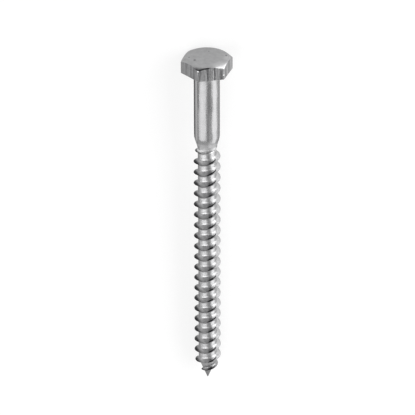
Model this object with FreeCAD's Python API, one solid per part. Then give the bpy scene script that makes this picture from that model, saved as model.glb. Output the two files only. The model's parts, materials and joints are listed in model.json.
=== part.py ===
# Hex head lag screw, 10 mm by 130 mm, lying on its side as it comes to rest.
# Millimetres. The screw is built upright, with its bearing face at z = 0 and its point down,
# and then laid down on the head's lower flat and the first crest of the thread to touch.

import FreeCAD, Part
import math
import os

# Head
across_flats = 16.6
head_height = 5.5
chamfer_circle_share = 0.95
chamfer_angle = 30.0

# Shank, and the neck that narrows to the threaded part
length = 130.8
shank_diameter = 9.5
neck_length = 4.1
thread_into_neck = 0.8

# Wood thread, one right-hand start
thread_diameter = 10.0
core_diameter = 6.8
pitch = 4.5
thread_length = 99.0
flank_angle = 30.0
fade_turns = 1.1
fade_least = 0.03
start_angle = 13.2

# Point
point_angle = 24.0
point_blend = 0.5
tip_diameter = 0.3
bare_tip = 1.6

# Fineness and joining
points_per_turn = 28
buried_share = 0.08

# Worked out from these
core_radius = core_diameter / 2
thread_depth = (thread_diameter - core_diameter) / 2
turns = round(thread_length / pitch)
thread_top = -length + bare_tip + turns * pitch
neck_end = thread_top - thread_into_neck
shank_end = neck_end + neck_length
point_slope = math.tan(math.radians(point_angle))
point_top = -length + (core_diameter - tip_diameter) / 2 / point_slope


def along(z):
    return FreeCAD.Vector(0, 0, z)


def turned(corners):
    """Solid of revolution from the corners (radius, height) of half its section."""
    outline = [FreeCAD.Vector(radius, 0, z) for radius, z in corners]
    return Part.Face(Part.makePolygon(outline + outline[:1])).revolve(along(0), along(1), 360)


def head():
    """Hexagon with its top corners turned off by a flat cone."""
    corner_radius = across_flats / math.sqrt(3)
    flat_radius = chamfer_circle_share * across_flats / 2
    angles = [math.radians(60 * corner) for corner in range(7)]
    corners = [FreeCAD.Vector(corner_radius * math.cos(a), corner_radius * math.sin(a), 0) for a in angles]
    hexagon = Part.Face(Part.makePolygon(corners)).extrude(along(head_height))
    cone_reach = 2 * corner_radius
    cone_foot = head_height - (cone_reach - flat_radius) * math.tan(math.radians(chamfer_angle))
    below = cone_foot - head_height
    chamfer = turned([(0, head_height), (flat_radius, head_height), (cone_reach, cone_foot),
                      (cone_reach, below), (0, below)])
    return hexagon.common(chamfer)


def stem():
    """Shank, neck, thread core and cone of the point, turned in one."""
    shank_radius = shank_diameter / 2
    inside_head = head_height / 2
    return turned([(0, inside_head), (shank_radius, inside_head), (shank_radius, shank_end),
                   (core_radius, neck_end), (core_radius, point_top), (tip_diameter / 2, -length),
                   (0, -length)])


def core_at(z):
    """Radius of the core at a height, running softly from the straight core into the point."""
    cone = tip_diameter / 2 + (z + length) * point_slope
    return (core_radius + cone - math.hypot(core_radius - cone, point_blend)) / 2


def fullness(turn):
    """Share of its full height that the thread has, fading out at its start and at the point."""
    from_end = min(turn, turns - turn)
    return fade_least + (1 - fade_least) * math.sin(min(1, from_end / fade_turns) * math.pi / 2)


def crest_height(turn):
    return thread_top - pitch * turn


def crest_radius(turn):
    return core_at(crest_height(turn)) + thread_depth * fullness(turn)


def around(turn, radius, z):
    angle = math.radians(start_angle) - 2 * math.pi * turn
    return FreeCAD.Vector(radius * math.cos(angle), radius * math.sin(angle), z)


def crest(turn):
    return around(turn, crest_radius(turn), crest_height(turn))


def foot(turn, side):
    """Foot of a flank, buried in the core above the crest (side 1) or below it (side -1)."""
    rise = crest_radius(turn) - (1 - buried_share) * core_at(crest_height(turn))
    z = crest_height(turn) + side * rise * math.tan(math.radians(flank_angle))
    return around(turn, (1 - buried_share) * core_at(z), z)


def upper_foot(turn):
    return foot(turn, 1)


def lower_foot(turn):
    return foot(turn, -1)


def curve(place, first_turn):
    """Smooth curve through the places that a formula gives along one turn."""
    steps = list(range(points_per_turn + 1))
    line = Part.BSplineCurve()
    line.interpolate([place(first_turn + step / points_per_turn) for step in steps], Parameters=steps)
    return line


def strip(first, second):
    """Face of straight lines that join two such curves at equal angles."""
    poles = list(zip(first.getPoles(), second.getPoles()))
    face = Part.BSplineSurface()
    face.buildFromPolesMultsKnots(poles, first.getMultiplicities(), [2, 2], first.getKnots(), [0, 1],
                                  False, False, first.Degree, 1)
    return face.toShape()


def thread():
    """Helical ridge from the neck to the point: two flanks and a buried base, turn after turn."""
    faces = []
    for turn in range(turns):
        edges = [curve(place, turn) for place in (upper_foot, crest, lower_foot)]
        faces += [strip(edge, edges[number - 2]) for number, edge in enumerate(edges)]
    for end in (0, turns):
        corners = [upper_foot(end), crest(end), lower_foot(end)]
        faces.append(Part.Face(Part.makePolygon(corners + corners[:1])))
    skin = Part.Compound(faces)
    skin.sewShape(0.0001)
    return Part.Solid(skin.Shells[0])


def rest_tilt():
    """Angle at which the screw lies on the lower edge of its head and the first crest to touch."""
    facing_down = (start_angle - 90) / 360 % 1
    crests = [facing_down + turn for turn in range(turns)]
    return min(math.atan2(across_flats / 2 - crest_radius(t), -crest_height(t)) for t in crests)


def laid_down(screw):
    """Point towards -Y, one flat of the head down and the lowest edge on z = 0."""
    screw.rotate(along(0), FreeCAD.Vector(1, 0, 0), math.degrees(rest_tilt()) - 90)
    box = screw.optimalBoundingBox(False, False)
    screw.translate(FreeCAD.Vector(-box.Center.x, -box.Center.y, -box.ZMin))
    return screw


os.makedirs("parts", exist_ok=True)
lag_screw = laid_down(stem().fuse(thread()).fuse(head()))
lag_screw.Solids[0].exportStep("parts/lag_screw.step")
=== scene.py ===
import json
import math

import bmesh
import bpy
from mathutils import Matrix, Vector


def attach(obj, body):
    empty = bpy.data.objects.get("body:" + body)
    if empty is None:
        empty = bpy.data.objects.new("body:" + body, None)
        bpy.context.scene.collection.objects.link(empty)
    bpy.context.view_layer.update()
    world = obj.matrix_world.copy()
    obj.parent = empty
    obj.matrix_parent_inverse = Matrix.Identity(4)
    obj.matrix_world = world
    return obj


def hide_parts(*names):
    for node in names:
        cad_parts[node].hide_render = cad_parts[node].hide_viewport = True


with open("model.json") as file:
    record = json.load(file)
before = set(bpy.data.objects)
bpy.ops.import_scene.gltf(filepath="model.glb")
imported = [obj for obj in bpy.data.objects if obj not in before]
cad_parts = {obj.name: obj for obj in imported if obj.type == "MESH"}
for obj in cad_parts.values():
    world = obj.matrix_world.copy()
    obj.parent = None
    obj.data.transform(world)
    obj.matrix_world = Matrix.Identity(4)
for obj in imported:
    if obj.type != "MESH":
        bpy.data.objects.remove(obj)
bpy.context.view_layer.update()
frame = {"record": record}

# The screw is modelled upright in millimetres, bearing face at z = 0 and point down,
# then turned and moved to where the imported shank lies.
millimetre = 0.001
mounts = {mount["name"]: mount for mount in frame["record"]["mounts"]}
towardsPoint = Vector(mounts["shank"]["axis"]).normalized()
shankLength = mounts["shank"]["dims"]["length_mm"]
bearingCentre = Vector(mounts["shank"]["pos_m"]) - towardsPoint * shankLength / 2000     # half of it, in metres
layDown = math.atan2(towardsPoint.y, -towardsPoint.z)      # turn about X that lays the screw down
toFrame = Matrix.Translation(bearingCentre) @ Matrix.Rotation(layDown, 4, "X") @ Matrix.Scale(millimetre, 4)
onPlane = 0.0001                                           # how near a point is that counts as level with a cut


def addObject(name, data):
    made = bpy.data.objects.new(name, data)
    bpy.context.collection.objects.link(made)
    return made


def addMesh(name, bm):
    mesh = bpy.data.meshes.new(name)
    bm.to_mesh(mesh)
    bm.free()
    return addObject(name, mesh)


def edgesAt(bm, z):
    return [e for e in bm.edges if e.is_boundary and all(abs(v.co.z - z) < onPlane for v in e.verts)]


# the lower of two values, rounded off where they meet
def softLower(a, b, blend):
    near = max(blend - abs(a - b), 0) / blend
    return min(a, b) - near * near * blend / 4


def softHigher(a, b, blend):
    return -softLower(-a, -b, blend)


stemSizes = {
    "shankRadius": 4.75, "coreRadius": 3.4,
    "shankEnd": -shankLength, "neckEnd": -31.4, "neckBlend": 0.35,
    "length": 130.8, "pointAngle": 21.5, "pointBlend": 0.9, "tipRadius": 0.15,
}


# radius of the plain stem at a height: shank, neck, core and cone of the point
def stemRadius(z):
    s = stemSizes
    neckSlope = (s["shankRadius"] - s["coreRadius"]) / (s["shankEnd"] - s["neckEnd"])
    neck = s["coreRadius"] + (z - s["neckEnd"]) * neckSlope
    cone = s["tipRadius"] + (z + s["length"]) * math.tan(math.radians(s["pointAngle"]))
    body = softLower(s["shankRadius"], softHigher(s["coreRadius"], neck, s["neckBlend"]), s["neckBlend"])
    return softLower(body, cone, s["pointBlend"])


threadSizes = {
    "pitch": 4.5, "turns": 22, "top": -30.2, "depth": 1.57, "flankAngle": 31.0,
    "crestWidth": 0.07, "crestRound": 0.07, "rootRound": 0.85, "roundSteps": 4,
    "startAngle": 13.2, "fadeTurns": 1.3, "edgeWidth": 0.22, "recessAt": 0.95, "recessWidth": 0.45,
    "stepsPerTurn": 72, "turnsAbove": 1.4, "turnsBelow": 1.2,
    "cutTop": -30.05, "cutTip": 0.45,
    "tipShares": (0.55, 0.2, 0.06, 0), "tipBlunt": 5,      # heights of the tip's rings, and how soon it rounds off
    "mergeWithin": 0.002, "snapWithin": 0.003,
}


# points of a path of straight lines whose corners are rounded
def roundedPath(corners, rounds, steps):
    path = [corners[0]]
    for before, corner, after, radius in zip(corners, corners[1:], corners[2:], rounds):
        inward, outward = (before - corner).normalized(), (after - corner).normalized()
        half = inward.angle(outward) / 2
        start = corner + inward * radius / math.tan(half)
        middle = corner + (inward + outward).normalized() * radius / math.sin(half)
        sweep = math.pi - 2 * half
        turn = 1 if inward.cross(outward) < 0 else -1
        arm = start - middle
        path += [middle + Matrix.Rotation(turn * sweep * k / steps, 2) @ arm for k in range(steps + 1)]
    return path + [corners[-1]]


# one pitch of thread: (height over the core, distance from the crest along the axis)
def threadProfile():
    t = threadSizes
    halfPitch, halfCrest = t["pitch"] / 2, t["crestWidth"] / 2
    foot = halfCrest + t["depth"] * math.tan(math.radians(t["flankAngle"]))
    corners = [(0, halfPitch), (0, foot), (t["depth"], halfCrest),
               (t["depth"], -halfCrest), (0, -foot), (0, -halfPitch)]
    rounds = [t["rootRound"], t["crestRound"], t["crestRound"], t["rootRound"]]
    path = roundedPath([Vector(c) for c in corners], rounds, t["roundSteps"])
    # the straight at each end is split in three
    rootStep = (path[0] - path[1]) / 3
    upper = [path[0] - rootStep * k for k in (1, 2)]
    lower = [path[-1] + rootStep * k for k in (2, 1)]
    return path[:1] + upper + path[1:-1] + lower + path[-1:]


# how far the ridge has risen at a turn: it fades in at the neck and out at the tip
def fullness(turn):
    t = threadSizes
    fromEnd = min(turn, t["turns"] - turn)
    return math.sin(min(1, max(0, fromEnd) / t["fadeTurns"]) * math.pi / 2)


# moves a point of the even screw onto the core, neck and point, and lets the ridge fade at both ends; notes how
# high it stands on the ridge, and the painted shade along the crest's lower edge and in the recess of the flank
# towards the point
def shapeThreadPoint(vert, ridge, shadeBelowCrest):
    t, co = threadSizes, vert.co
    angle = math.atan2(co.y, co.x)
    part = (math.radians(t["startAngle"]) - angle) / (2 * math.pi) % 1
    turn = part + round((t["top"] - co.z) / t["pitch"] - part)
    fromCrest = co.z - (t["top"] - turn * t["pitch"])
    height = math.hypot(co.x, co.y) - stemSizes["coreRadius"]
    full = fullness(turn)
    # a fading ridge is narrower, but its crest keeps its width
    spread = 1 if abs(fromCrest) < t["crestWidth"] else abs(fromCrest) * 2 / t["pitch"]
    squeeze = full + (1 - full) * spread
    z = co.z - fromCrest * (1 - squeeze)
    radius = stemRadius(z) + height * full
    vert.co = (radius * math.cos(angle), radius * math.sin(angle), z)
    vert[ridge] = max(0, height / t["depth"]) * min(1, full * 2)
    # painted shade under the crest's edge and in the recess of the flank towards the point
    edge = min(1, max(0, t["edgeWidth"] - fromCrest) / t["edgeWidth"]) * vert[ridge] ** 2
    recess = max(0, 1 - abs(fromCrest + t["recessAt"]) / t["recessWidth"])
    vert[shadeBelowCrest] = max(edge, recess) * min(1, full * 2)


def buildThread(bm):
    t = threadSizes
    startZ = t["top"] + t["turnsAbove"] * t["pitch"]
    startTurn = math.radians(t["startAngle"]) + 2 * math.pi * t["turnsAbove"]
    verts = [bm.verts.new((stemSizes["coreRadius"] + p.x, 0, startZ + p.y)) for p in threadProfile()]
    edges = [bm.edges.new(pair) for pair in zip(verts, verts[1:])]
    bmesh.ops.rotate(bm, verts=verts, cent=(0, 0, 0), matrix=Matrix.Rotation(startTurn, 3, "Z"))
    bmesh.ops.spin(bm, geom=verts + edges, cent=(0, 0, 0), axis=(0, 0, 1), angle=-2 * math.pi,
                   steps=t["stepsPerTurn"], dvec=(0, 0, -t["pitch"] / t["stepsPerTurn"]))
    oneTurn = bm.verts[:] + bm.edges[:] + bm.faces[:]
    for turn in range(1, math.ceil(t["turns"] + t["turnsAbove"] + t["turnsBelow"])):
        copied = bmesh.ops.duplicate(bm, geom=oneTurn)["geom"]
        lower = [g for g in copied if isinstance(g, bmesh.types.BMVert)]
        bmesh.ops.translate(bm, verts=lower, vec=(0, 0, -t["pitch"] * turn))
    bmesh.ops.remove_doubles(bm, verts=bm.verts, dist=t["mergeWithin"])
    ridge, shadeBelowCrest = bm.verts.layers.float.new("ridge"), bm.verts.layers.float.new("shadeBelowCrest")
    for vert in bm.verts:
        shapeThreadPoint(vert, ridge, shadeBelowCrest)
    tipCut = -stemSizes["length"] + t["cutTip"]
    for height, way in ((t["cutTop"], 1), (tipCut, -1)):
        everything = bm.verts[:] + bm.edges[:] + bm.faces[:]
        bmesh.ops.bisect_plane(bm, geom=everything, dist=t["snapWithin"], use_snap_center=True,
                               plane_co=(0, 0, height), plane_no=(0, 0, way), clear_outer=True)
    # the bare tip, drawn in to a small rounded end
    ring = edgesAt(bm, tipCut)
    for share in t["tipShares"]:
        made = bmesh.ops.extrude_edge_only(bm, edges=ring)["geom"]
        ring = [g for g in made if isinstance(g, bmesh.types.BMEdge)]
        rim = [g for g in made if isinstance(g, bmesh.types.BMVert)]
        rim.sort(key=lambda vert: math.atan2(vert.co.y, vert.co.x))
        z = -stemSizes["length"] + t["cutTip"] * share
        radius = stemRadius(z) * math.sqrt(min(1, share * t["tipBlunt"]))
        for k, vert in enumerate(rim):
            angle = 2 * math.pi * k / len(rim) - math.pi
            vert.co = (radius * math.cos(angle), radius * math.sin(angle), z)
    print("thread", len(bm.faces), "faces")


# shank and head are built ring after ring on the same spokes
headSizes = {
    "acrossFlats": 16.6, "height": 5.5, "flatCircleShare": 0.95, "chamferAngle": 30.0,
    "cornerRound": 0.4, "rimRound": 0.2, "chamferRound": 0.3, "topRound": 0.3,
    "neckFillet": 0.45, "spokesPerSide": 16,
}
spokes = 6 * headSizes["spokesPerSide"]
flatCircle = headSizes["flatCircleShare"] * headSizes["acrossFlats"] / 2      # radius of the flat top


def roundRing(radius, z):
    def place(spoke):
        angle = 2 * math.pi * spoke / spokes
        return Vector((radius * math.cos(angle), radius * math.sin(angle), z))
    return place


# outline of the hexagon with rounded corners, drawn in by an inset
def hexPoint(spoke, inset):
    h = headSizes
    side, step = divmod(spoke, h["spokesPerSide"])
    apothem, corner = h["acrossFlats"] / 2 - inset, h["cornerRound"]
    along = math.sin((2 * step / h["spokesPerSide"] - 1) * math.pi / 2)
    point = Vector((apothem, along * apothem * math.tan(math.pi / 6)))
    centre = Vector((apothem - corner, math.copysign((apothem - corner) * math.tan(math.pi / 6), along)))
    if abs(point.y) > abs(centre.y):
        point = centre + (point - centre).normalized() * corner
    point.rotate(Matrix.Rotation(math.radians(30 + 60 * side), 2))
    return point


def hexRing(inset, z):
    def place(spoke):
        point = hexPoint(spoke, inset)
        return Vector((point.x, point.y, z))
    return place


def chamferHeight(radius):
    return headSizes["height"] - (radius - flatCircle) * math.tan(math.radians(headSizes["chamferAngle"]))


# on a flat, a distance below the chamfer's edge
def sideTopRing(below):
    def place(spoke):
        point = hexPoint(spoke, 0)
        return Vector((point.x, point.y, chamferHeight(point.length) - below))
    return place


# on the chamfer, a distance in from its outer edge, sunk a little where the edge is rounded
def chamferRing(inward, sunk=0):
    def place(spoke):
        point = hexPoint(spoke, 0)
        radius = point.length - inward
        point = point.normalized() * radius
        return Vector((point.x, point.y, chamferHeight(radius) - sunk))
    return place


# on the chamfer, a distance out from the flat circle where there is room for it
def innerChamferRing(outward):
    def place(spoke):
        point = hexPoint(spoke, 0)
        radius = min(flatCircle + outward, point.length - headSizes["chamferRound"] * 0.55)
        point = point.normalized() * radius
        return Vector((point.x, point.y, chamferHeight(radius)))
    return place


def topRing(radius):
    def place(spoke):
        point = hexPoint(spoke, 0).normalized() * radius
        return Vector((point.x, point.y, headSizes["height"]))
    return place


# rings of the neck, the shank's end, the shank and the fillet under the head
def stemRings():
    s, fillet = stemSizes, headSizes["neckFillet"]
    blend = s["neckBlend"]
    foot = threadSizes["cutTop"] + 0.3                     # leaves a gap that bridge_loops closes
    neck = [foot + (s["shankEnd"] - blend - foot) * k / 6 for k in range(7)]
    edge = [s["shankEnd"] + blend * k / 4 for k in range(-3, 9)]
    rings = [roundRing(stemRadius(z), z) for z in neck + edge]
    straight = [s["shankEnd"] + (-fillet - s["shankEnd"]) * k / 6 for k in range(1, 7)]
    rings += [roundRing(s["shankRadius"], z) for z in straight]
    for k in range(1, 5):
        angle = math.pi / 2 * k / 4
        rings.append(roundRing(s["shankRadius"] + fillet * (1 - math.cos(angle)), fillet * (math.sin(angle) - 1)))
    return rings


# rings of the head from the bearing face up, each with how much of the painted highlight and shade at the
# chamfer's edge it takes
def headRings():
    rim, edge, soft = (headSizes[name] for name in ("rimRound", "chamferRound", "topRound"))
    rings = [hexRing(rim * 2.5, 0)]
    for k in range(5):
        angle = math.pi / 2 * k / 4
        rings.append(hexRing(rim * (1 - math.sin(angle)), rim * (1 - math.cos(angle))))
    rings += [hexRing(0, rim * 2.5), sideTopRing(edge * 1.5)]
    paintedRimRings = [sideTopRing(edge * 0.58), chamferRing(edge * 0.13, edge * 0.16), chamferRing(edge * 0.5)]
    top = [innerChamferRing(soft)] + [topRing(flatCircle - soft * k) for k in (1, 3)]
    top += [topRing(flatCircle * share) for share in (0.7, 0.35, 0.1)]
    return [(ring, 0) for ring in rings] + [(ring, 1) for ring in paintedRimRings] + [(ring, 0) for ring in top]


# returns the height of its lowest ring, which is left open for the thread
def buildHeadAndShank(bm):
    spokeLayer, rimLayer = bm.verts.layers.int.new("spoke"), bm.verts.layers.float.new("rim")
    rings = [(ring, 0) for ring in stemRings()] + headRings()
    stemFoot = rings[0][0]
    made = bmesh.ops.create_circle(bm, segments=spokes, radius=1)["verts"]
    first = set(made)
    for vert in made:
        angle = math.atan2(vert.co.y, vert.co.x) % (2 * math.pi)
        vert[spokeLayer] = round(angle / (2 * math.pi) * spokes) % spokes
        vert.co = stemFoot(vert[spokeLayer])
    edges = [e for e in bm.edges if set(e.verts) <= first]
    for place, rim in rings[1:]:
        geom = bmesh.ops.extrude_edge_only(bm, edges=edges)["geom"]
        edges = [g for g in geom if isinstance(g, bmesh.types.BMEdge)]
        ring = [g for g in geom if isinstance(g, bmesh.types.BMVert)]
        for vert in ring:
            vert.co = place(vert[spokeLayer])
            vert[rimLayer] = rim
    bmesh.ops.pointmerge(bm, verts=ring, merge_co=(0, 0, headSizes["height"]))
    print("head and shank", len(bm.faces), "faces")
    return stemFoot(0).z


screwSkin = {
    "mergeWithin": 0.0005,
    # where the finishes change: above the thread's cut, below the bearing face, and how steep a flat is
    "threadEnd": 0.25, "shankStart": 0.02, "flatSlope": 0.5,
}
# places of the four finishes among the screw's materials
topFinish, flatsFinish, shankFinish, threadFinish = range(4)


def buildScrew():
    bm = bmesh.new()
    buildThread(bm)
    stemFoot = buildHeadAndShank(bm)
    loops = edgesAt(bm, threadSizes["cutTop"]) + edgesAt(bm, stemFoot)
    bmesh.ops.bridge_loops(bm, edges=loops)
    bmesh.ops.remove_doubles(bm, verts=bm.verts, dist=screwSkin["mergeWithin"])
    bmesh.ops.recalc_face_normals(bm, faces=bm.faces)
    for face in bm.faces:
        face.smooth = True
        middle = face.calc_center_median()
        if middle.z < threadSizes["cutTop"] + screwSkin["threadEnd"]:
            face.material_index = threadFinish
        elif middle.z < -screwSkin["shankStart"]:
            face.material_index = shankFinish
        elif abs(face.normal.z) < screwSkin["flatSlope"]:
            face.material_index = flatsFinish
        else:
            face.material_index = topFinish
    bmesh.ops.transform(bm, matrix=toFrame, verts=bm.verts)
    return addMesh("lagScrewSkin", bm)


# wraps an output socket, so that shader maths reads as plain expressions
class Signal:
    def __init__(self, tree, socket=None):
        self.tree, self.socket = tree, socket

    def node(self, kind, settings=None, sockets=None, output=0):
        made = self.tree.nodes.new(kind)
        for name, value in (settings or {}).items():
            setattr(made, name, value)
        for name, value in (sockets or {}).items():
            if isinstance(value, Signal):
                self.tree.links.new(value.socket, made.inputs[name])
            else:
                made.inputs[name].default_value = value
        return Signal(self.tree, made.outputs[output])

    def maths(self, operation, *values):
        return self.node("ShaderNodeMath", {"operation": operation}, dict(enumerate(values)))

    def __add__(self, other):
        return self.maths("ADD", self, other)

    __radd__ = __add__

    def __sub__(self, other):
        return self.maths("SUBTRACT", self, other)

    def __rsub__(self, other):
        return self.maths("SUBTRACT", other, self)

    def __mul__(self, other):
        return self.maths("MULTIPLY", self, other)

    __rmul__ = __mul__

    # 0 before the first value, 1 past the second, smooth between, whichever is the larger
    def rise(self, start, end):
        return self.node("ShaderNodeMapRange", {"interpolation_type": "SMOOTHSTEP"},
                         {"Value": self, "From Min": start, "From Max": end})

    # 1 from the second value to the third, 0 before the first and past the last
    def band(self, start, full, fade, end):
        return self.rise(start, full) - self.rise(fade, end)

    # noise on this place, finer along an axis where its stretch is larger
    def noise(self, scale, stretch=(1, 1, 1), detail=3.0, seed=0.0):
        shift = (seed, seed * 1.7, seed * 2.3)
        spread = self.node("ShaderNodeVectorMath", {"operation": "MULTIPLY"}, {0: self, 1: stretch})
        moved = self.node("ShaderNodeVectorMath", {"operation": "ADD"}, {0: spread, 1: shift})
        return self.node("ShaderNodeTexNoise", None, {"Vector": moved, "Scale": scale, "Detail": detail})

    def distanceTo(self, point):
        return self.node("ShaderNodeVectorMath", {"operation": "DISTANCE"}, {0: self, 1: point}, output=1)

    def part(self, axis):
        return self.node("ShaderNodeSeparateXYZ", None, {"Vector": self}, output="XYZ".index(axis))

    def attribute(self, name):
        return self.node("ShaderNodeAttribute", {"attribute_name": name}, output=2)

    def blend(self, low, high):
        settings = {"data_type": "RGBA", "clamp_factor": False}
        return self.node("ShaderNodeMix", settings, {0: self, 6: low, 7: high}, output=2)


# what the four plated finishes share; places are on the upright screw, in millimetres
plateLook = {
    "dark": (0.13, 0.13, 0.133, 1), "light": (0.48, 0.48, 0.485, 1), "lowestTone": -0.3,
    # painted light on one side of the screw, painted shade on the other
    "paintedLightSide": 0.4, "paintedShadeSide": 0.32,
    # a painted highlight and painted shade on the chamfer's edge at two corners
    "paintedHighlightCorner": (4.4, -7.9, 5.1), "paintedHighlightRim": 0.7,
    "paintedShadeCorner": (-3.2, -8.2, 5.2), "paintedShadeRim": -0.9,
}


# painted light on one side of the screw and painted shade on the other
def paintedSideLight(place):
    across = place.part("X")
    return across.rise(2.6, 4.6) * plateLook["paintedLightSide"] - across.rise(-2.6, -4.6) * plateLook["paintedShadeSide"]


# a plated finish: returns the material, its shader and the place on the upright screw, in millimetres
def startPlate(name, edgeTint):
    material = bpy.data.materials.new(name)
    material.use_nodes = True
    tree = material.node_tree
    shader = tree.nodes["Principled BSDF"]
    shader.inputs["Metallic"].default_value = 1
    shader.inputs["Specular Tint"].default_value = edgeTint
    coords = Signal(tree).node("ShaderNodeTexCoord", output="Object")
    place = coords.node("ShaderNodeMapping", {"vector_type": "TEXTURE"},
                        {"Vector": coords, "Location": bearingCentre, "Rotation": (layDown, 0, 0),
                         "Scale": (millimetre, millimetre, millimetre)})
    return material, shader, place


# dark and light plating are blended by tone, which goes on past both colours
def finishPlate(shader, place, tone, rough, bump, look):
    tree = place.tree
    tone = tone.maths("MAXIMUM", tone, plateLook["lowestTone"])
    tree.links.new(tone.blend(plateLook["dark"], plateLook["light"]).socket, shader.inputs["Base Color"])
    tree.links.new(rough.socket, shader.inputs["Roughness"])
    relief = {"Height": bump, "Strength": look["relief"], "Distance": look["reliefDepth"]}
    tree.links.new(place.node("ShaderNodeBump", None, relief).socket, shader.inputs["Normal"])


# painted highlight round the edge of the chamfer at one corner, and painted shade at the next
def addCornerLightAndShade(place, tone):
    rim = place.attribute("rim")
    for corner, change in (("paintedHighlightCorner", "paintedHighlightRim"), ("paintedShadeCorner", "paintedShadeRim")):
        near = place.distanceTo(plateLook[corner]).rise(3.4, 1.8)
        tone = tone + rim * near * plateLook[change]
    return tone


topLook = {
    "edgeTint": (0.85, 0.85, 0.85, 1),
    "tone": 0.31, "mottle": 0.55, "grain": 0.2, "paintedSheen": 0.43,
    "paintedSheenEdge": (7.8, -2.2, 5.4), "edgeShare": 0.6,
    # place and size of each
    "pits": (((-4.7, -1.5, 5.5), 0.42), ((7.1, -0.2, 5.5), 0.32),
             ((-6.3, 1.0, 5.5), 0.28), ((1.6, 4.4, 5.5), 0.24)),
    "pitShade": 0.7,
    "rough": 0.38, "roughMottle": 0.14, "relief": 0.5, "reliefDepth": 0.00015,
}


# top of the head: pressed, matt and faintly mottled, with a painted highlight towards one corner and edge
def pressedTop():
    look = topLook
    material, shader, place = startPlate("pressedTop", look["edgeTint"])
    mottle = place.noise(0.55, detail=4.0)
    grain = place.noise(5.0, detail=2.0, seed=4.0)
    # painted highlight on the top towards one corner and one edge
    paintedSheen = place.distanceTo(plateLook["paintedHighlightCorner"]).rise(4.8, 1.0)
    paintedSheen = paintedSheen + place.distanceTo(look["paintedSheenEdge"]).rise(3.2, 0.8) * look["edgeShare"]
    tone = look["tone"] + mottle * look["mottle"] + grain * look["grain"] + paintedSheen * look["paintedSheen"]
    bump = mottle * 0.6 + grain * 0.4
    for pit, size in look["pits"]:
        sunk = place.distanceTo(pit).rise(size * 1.6, size * 0.5)
        tone, bump = tone - sunk * look["pitShade"], bump - sunk
    rough = look["rough"] + mottle * look["roughMottle"]
    finishPlate(shader, place, addCornerLightAndShade(place, tone), rough, bump, look)
    return material


flatsLook = {
    "edgeTint": (0.85, 0.85, 0.85, 1),
    "tone": 0.01, "streaks": 0.55, "mottle": 0.36, "frontFlatPaintedLight": 0.12, "rightFlatPaintedLight": 0.15,
    "glintNicks": ((-4.75, -8.2, 4.2), (4.6, -8.25, 1.9)), "nickSize": 0.28, "nickGlint": 1.7,
    "rough": 0.34, "roughMottle": 0.12, "relief": 0.6, "reliefDepth": 0.0002,
}


# flats of the head: trimmed, with streaks along the axis that are weaker on one side, painted lighter flat by flat
# from one side to the other, and with a painted glint on each of two nicks
def trimmedFlats():
    look = flatsLook
    material, shader, place = startPlate("trimmedFlats", look["edgeTint"])
    across = place.part("X")
    rougher = across.rise(-6.0, -3.0) * 0.6 + 0.4
    streaks = place.noise(0.8, stretch=(1, 1, 0.08), detail=4.0, seed=2.0).rise(0.36, 0.64)
    mottle = place.noise(1.4, detail=3.0, seed=7.0)
    tone = look["tone"] + (streaks - 0.5) * rougher * look["streaks"] + mottle * look["mottle"]
    # painted light: the front flat lighter than the one beside it, the flat past it lighter still
    tone = tone + across.rise(-6.0, -4.0) * look["frontFlatPaintedLight"] + across.rise(3.0, 6.0) * look["rightFlatPaintedLight"]
    # two small nicks, each brightened by a painted glint
    for nick in look["glintNicks"]:
        bright = place.distanceTo(nick).rise(look["nickSize"] * 1.5, look["nickSize"] * 0.5)
        tone = tone + bright * look["nickGlint"]
    rough = look["rough"] + mottle * look["roughMottle"]
    bump = streaks * rougher + mottle * 0.4
    finishPlate(shader, place, addCornerLightAndShade(place, tone), rough, bump, look)
    return material


shankLook = {
    "edgeTint": (0.5, 0.5, 0.5, 1),
    "tone": 0.42, "lines": 0.2, "mottle": 0.15, "paleStrip": 0.35,
    "paintedPaleLine": 0.45, "paintedDarkLine": 0.35, "paintedShadeEdge": 0.5, "neck": 0.22, "neckEdgeShade": 0.4,
    "rough": 0.23, "roughMottle": 0.08, "roughNeck": 0.25, "relief": 0.5, "reliefDepth": 0.0006,
}


# shank: drawn bar, bright, with faint lines along it, a slightly uneven surface and painted reflections along its
# sides
def drawnShank():
    look = shankLook
    material, shader, place = startPlate("drawnShank", look["edgeTint"])
    lines = place.noise(2.5, stretch=(1, 1, 0.05), detail=3.0, seed=5.0)
    mottle = place.noise(1.1, detail=3.0, seed=9.0)
    waves = place.noise(0.25, stretch=(1, 1, 0.5), detail=1.0, seed=1.0)
    across, along = place.part("X"), place.part("Z")
    # lighter along a narrow strip down the front, near the head and towards the neck
    paleStrip = across.band(-0.5, 0.0, 0.6, 1.1) * (along.rise(-13.0, -18.0) + along.rise(-3.4, -2.2))
    # painted reflections: a faint pale line and dark lines along the sides
    paintedPaleLine = across.band(-4.62, -4.45, -4.15, -4.0)
    paintedDarkLine = across.band(-4.0, -3.85, -3.75, -3.6) * along.rise(-15.0, -12.0)
    paintedDarkLine = paintedDarkLine + across.band(3.2, 3.5, 4.1, 4.4) * 0.8
    # painted shade along the outermost edge of one side
    paintedShadeEdge = across.rise(-4.6, -4.72)
    # the turned-down end, and the slanting shade on one side of it
    neck = along.rise(-28.0, -28.9)
    neckEdgeShade = (across - along * 0.3 - 12.35).rise(-0.6, 0.3) * along.rise(-26.6, -28.8)
    tone = look["tone"] + lines * look["lines"] + mottle * look["mottle"] + paleStrip * look["paleStrip"]
    tone = tone + paintedSideLight(place) + paintedPaleLine * look["paintedPaleLine"] - paintedDarkLine * look["paintedDarkLine"]
    tone = tone - paintedShadeEdge * look["paintedShadeEdge"] + neck * look["neck"] - neckEdgeShade * look["neckEdgeShade"]
    rough = look["rough"] + mottle * look["roughMottle"] + neck * look["roughNeck"]
    finishPlate(shader, place, tone, rough, lines * 0.08 + mottle * 0.06 + waves, look)
    return material


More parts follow.
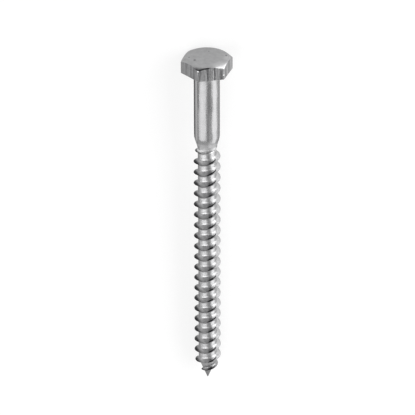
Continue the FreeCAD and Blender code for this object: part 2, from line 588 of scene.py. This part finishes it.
threadLook = {
    "edgeTint": (0.7, 0.7, 0.7, 1),
    "tone": 0.26, "mottle": 0.85, "grain": 0.2, "crest": 0.08, "shadeBelowCrest": 0.55,
    "flankSideShade": 0.62, "rootSideShade": 0.3, "paintedLightThreadSide": 0.3,
    "line": 0.75, "paintedPaleFlank": 0.25, "paintedDarkFlank": 0.4,
    "neck": 0.1, "neckEdgeShade": 0.7, "gleam": 0.8, "point": 0.5,
    "rough": 0.24, "roughMottle": 0.16, "roughBelowCrest": 0.15, "roughNeck": 0.25, "smoothGleam": 0.2,
    "relief": 0.6, "reliefDepth": 0.00015,
}


# neck and thread: rolled, a little darker up the ridge, with painted shade on the flank towards the point and
# painted light and shade across the sides; the neck is matt
def rolledThread():
    look = threadLook
    material, shader, place = startPlate("rolledThread", look["edgeTint"])
    ridge = place.attribute("ridge")
    # painted shade under the crest and in the recess of the flank towards the point
    shadeBelowCrest = place.attribute("shadeBelowCrest")
    across, along = place.part("X"), place.part("Z")
    neck = along.rise(-31.6, -31.0)
    mottle = place.noise(1.5, detail=3.0, seed=12.0)
    grain = place.noise(4.0, detail=2.0, seed=3.0)
    # painted shade on the flanks and roots of one side
    sideShade = across.rise(-3.0, -4.6) * ridge.rise(0.0, 0.5) * look["flankSideShade"]
    sideShade = sideShade + across.rise(-2.8, -3.3) * ridge.rise(0.2, 0.0) * look["rootSideShade"]
    # a painted dark reflection on the flank towards the head, lower on the ridge the farther it is to one side
    offLine = ridge + across * 0.13 - 0.88
    line = offLine.maths("ABSOLUTE", offLine).rise(0.22, 0.05) * across.band(-1.8, 0.2, 2.4, 2.8)
    patchy = place.noise(0.45, detail=1.0, seed=20.0).rise(0.3, 0.55) + 0.5
    line = line * place.part("Y").rise(1.0, -1.0) * patchy
    # the painted gleam under the neck, broken in the middle
    gap = across.band(-1.1, -0.8, -0.1, 0.2)
    gleam = along.band(-32.4, -32.0, -31.6, -31.2) * ridge.rise(0.8, 0.5) * (1 - gap)
    # painted reflections: the flanks are paler on one side of the middle and darker beside it
    paintedPaler = across.band(-3.2, -2.4, -1.1, -0.4)
    paintedDarker = across.band(-0.5, 0.1, 0.9, 1.5)
    flank = ridge.rise(0.1, 0.4) * (paintedPaler * look["paintedPaleFlank"] - paintedDarker * look["paintedDarkFlank"])
    # darker towards the point, and the last of the ridge on it dark
    point = along.rise(-122.0, -126.5)
    lastRidge = along.rise(-126.0, -127.2) * across.rise(0.2, -0.8) * ridge.rise(0.02, 0.12)
    tone = look["tone"] + mottle * look["mottle"] + grain * look["grain"] - ridge * look["crest"]
    tone = tone + neck * look["neck"] + gleam * look["gleam"] - shadeBelowCrest * look["shadeBelowCrest"]
    # painted light on one side of the thread and painted shade on the other
    tone = tone + paintedSideLight(place) + across.rise(2.4, 4.0) * look["paintedLightThreadSide"] - sideShade
    # painted shade along one side of the neck
    tone = tone - line * look["line"] + flank - neck * across.rise(2.5, 3.4) * look["neckEdgeShade"]
    tone = tone - point * look["point"] - lastRidge
    rough = look["rough"] + mottle * look["roughMottle"] + shadeBelowCrest * look["roughBelowCrest"]
    rough = rough + neck * look["roughNeck"] - gleam * look["smoothGleam"]
    finishPlate(shader, place, tone, rough, mottle * 0.7 + grain * 0.3, look)
    return material


screw = buildScrew()
# in the order of topFinish, flatsFinish, shankFinish and threadFinish
for finish in (pressedTop, trimmedFlats, drawnShank, rolledThread):
    screw.data.materials.append(finish())
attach(screw, "root")
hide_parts("lag_screw")
print("screw dressed")


studio = {
    "floorSize": 6.0, "floorTone": 0.86, "floorGlow": 0.72, "floorRough": 0.9, "floorShine": 0.1,
    "worldTone": 0.5, "worldBright": 0.95, "worldRise": (-0.6, -0.95),
    "boxDistance": 0.9,
    # across in degrees from straight up, along in degrees towards the head, and the level of each part
    "left": {"side": -1, "span": (17, 84), "leans": (-38, -13, 14), "levels": (1.6, 2.9)},
    "right": {"side": 1, "span": (37, 86), "leans": (-52, -13, 38), "levels": (1.78, 2.9)},
    "front": {"turn": 39, "rise": 15, "width": 0.8, "height": 0.44, "level": 2.2},
}


# pale paper, part of whose white is the same whether or not it is shaded
def buildFloor():
    bm = bmesh.new()
    bmesh.ops.create_grid(bm, x_segments=1, y_segments=1, size=studio["floorSize"] / 2)
    floor = addMesh("floor", bm)
    paint = bpy.data.materials.new("palePaper")
    paint.use_nodes = True
    tree = paint.node_tree
    paper = tree.nodes["Principled BSDF"]
    tone = studio["floorTone"]
    paper.inputs["Base Color"].default_value = (tone, tone, tone, 1)
    paper.inputs["Roughness"].default_value = studio["floorRough"]
    paper.inputs["Specular IOR Level"].default_value = studio["floorShine"]
    seen, mirrored, through = (Signal(tree).node("ShaderNodeLightPath", output=ray)
                               for ray in ("Is Camera Ray", "Is Glossy Ray", "Is Transmission Ray"))
    shown = seen + mirrored + through
    share = shown.maths("MINIMUM", shown, 1.0) * studio["floorGlow"]
    glow = shown.node("ShaderNodeEmission", None, {"Color": (1, 1, 1, 1), "Strength": 1.0})
    mixed = shown.node("ShaderNodeMixShader", None, {0: share, 1: Signal(tree, paper.outputs[0]), 2: glow})
    tree.links.new(mixed.socket, tree.nodes["Material Output"].inputs["Surface"])
    floor.data.materials.append(paint)


# a rectangular lamp that looks as bright as its level from anywhere in front of it
def addLamp(name, width, height, level):
    data = bpy.data.lights.new(name, "AREA")
    data.shape = "RECTANGLE"
    data.size, data.size_y = width, height
    data.energy = level * math.pi * data.size * data.size_y
    return addObject(name, data)


# a soft box to one side of the screw: across from one angle to another, along from one lean to another
def addSoftBox(name, side, span, leans, level):
    near, far = (math.radians(angle) for angle in span)
    middle, reach = (near + far) / 2, studio["boxDistance"]
    ends = [reach * math.tan(math.radians(lean)) for lean in leans]
    lamp = addLamp(name, 2 * reach * math.tan((far - near) / 2), ends[1] - ends[0], level)
    lamp.location = (side * reach * math.sin(middle), sum(ends) / 2, reach * math.cos(middle))
    lamp.rotation_euler = (0, side * middle, 0)


# a soft box low beyond the head, turned to one side
def addFrontBox(turn, rise, width, height, level):
    lamp = addLamp("front", width, height, level)
    way = Vector((0, 1, 0))
    way.rotate(Matrix.Rotation(math.radians(rise), 3, "X"))
    way.rotate(Matrix.Rotation(math.radians(-turn), 3, "Z"))
    lamp.location = way * studio["boxDistance"]
    lamp.rotation_euler = way.to_track_quat("Z", "Y").to_euler()


# the lamps, and a plain grey room that is brighter on one side
def lightRoom():
    addFrontBox(**studio["front"])
    for name in ("left", "right"):
        box = studio[name]
        for part, level in enumerate(box["levels"]):
            leans = box["leans"][part:part + 2]
            addSoftBox(name + ("Far", "Near")[part], box["side"], box["span"], leans, level)
    world = bpy.data.worlds.new("room")
    bpy.context.scene.world = world
    world.use_nodes = True
    tree = world.node_tree
    away = Signal(tree).node("ShaderNodeTexCoord", output="Generated").part("Y")
    dim, bright = studio["worldTone"], studio["worldBright"]
    tone = away.rise(*studio["worldRise"]).blend((dim, dim, dim, 1), (bright, bright, bright, 1))
    tree.links.new(tone.socket, tree.nodes["Background"].inputs["Color"])


cameraSizes = {
    "distance": 1.17, "along": 0.0625,           # metres from the screw's axis, and down it from the bearing face
    "rise": 29.5, "turn": -10.77,                # degrees towards the head, and round the axis
    "lookUp": 0.00495, "lookRight": 0.00009,     # metres by which the aim is moved in the picture
    "roll": -0.19, "lens": 273.5, "sensor": 36, "nearest": 0.05, "farthest": 20,
}


def addCamera():
    c = cameraSizes
    towardsHead = -towardsPoint
    up = Vector((0, 0, 1))
    outward = (up - towardsHead * up.dot(towardsHead)).normalized()
    outward.rotate(Matrix.Rotation(math.radians(c["turn"]), 3, towardsHead))
    rise = math.radians(c["rise"])
    away = outward * math.cos(rise) + towardsHead * math.sin(rise)
    target = bearingCentre + towardsPoint * c["along"]
    right = towardsHead.cross(away).normalized()
    right.rotate(Matrix.Rotation(math.radians(c["roll"]), 3, away))
    imageUp = away.cross(right)
    aim = target + imageUp * c["lookUp"] + right * c["lookRight"]
    data = bpy.data.cameras.new("camera")
    data.lens = c["lens"]
    data.sensor_width = c["sensor"]
    data.clip_start, data.clip_end = c["nearest"], c["farthest"]
    camera = addObject("camera", data)
    turned = Matrix((right, imageUp, away)).transposed().to_4x4()
    camera.matrix_world = Matrix.Translation(aim + away * c["distance"]) @ turned
    bpy.context.scene.camera = camera


buildFloor()
lightRoom()
addCamera()
bpy.context.scene.view_settings.view_transform = "Standard"
print("studio ready")
